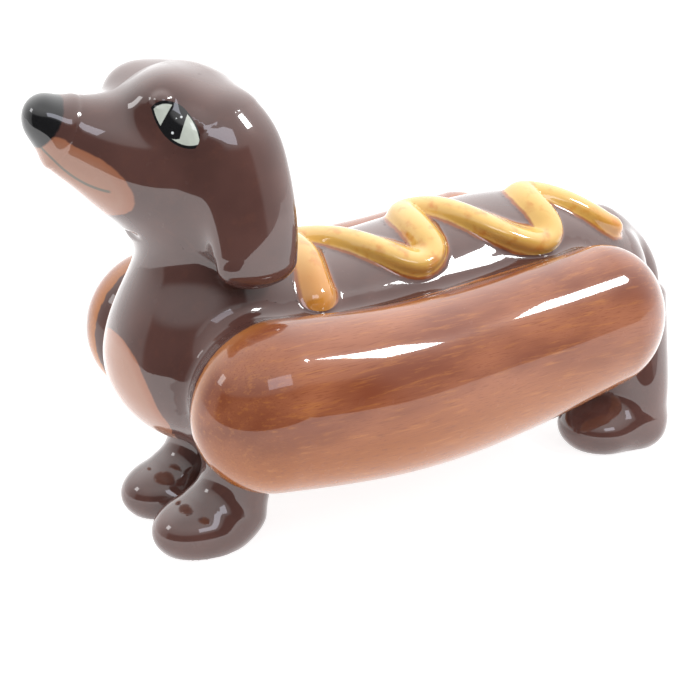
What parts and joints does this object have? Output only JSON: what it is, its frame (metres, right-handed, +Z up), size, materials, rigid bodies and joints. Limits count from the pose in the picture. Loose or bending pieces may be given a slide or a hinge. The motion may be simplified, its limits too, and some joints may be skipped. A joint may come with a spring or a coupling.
{
  "type": "ceramic dachshund figurine",
  "caption": "Glazed ceramic sausage-dog figurine standing on its paws, its long torso held in a split bun with a wavy mustard bead.",
  "frame": {"origin": "on the ground, at the middle of the underside of the figurine's bounding box", "axes": "+Z up; -Y is the way that the dog faces, so the nose is at -Y and the tail at +Y; +X is the dog's left"},
  "size_m": [0.0778, 0.1499, 0.0894],
  "materials": {
    "brown_glaze": "glossy hand-painted chocolate brown under clear glaze, tan on the jaw and chest",
    "black_glaze": "glossy black under clear glaze",
    "eye_glaze": "glossy off-white with a painted black outline and pupil",
    "bun_glaze": "glossy toasted orange-brown in lengthwise brush strokes, golden at the edges",
    "mustard_glaze": "glossy mustard yellow, more orange at the ends"
  },
  "bodies": {
    "root": {"body_shell": "brown_glaze", "head_shell": "brown_glaze", "nose": "black_glaze", "eye_left": "eye_glaze", "eye_right": "eye_glaze", "ear_left": "brown_glaze", "ear_right": "brown_glaze", "front_leg_left": "brown_glaze", "front_leg_right": "brown_glaze", "hind_leg_left": "brown_glaze", "hind_leg_right": "brown_glaze", "tail": "brown_glaze", "bun_half_left": "bun_glaze", "bun_half_right": "bun_glaze", "mustard_ribbon": "mustard_glaze"}
  },
  "joints": []
}
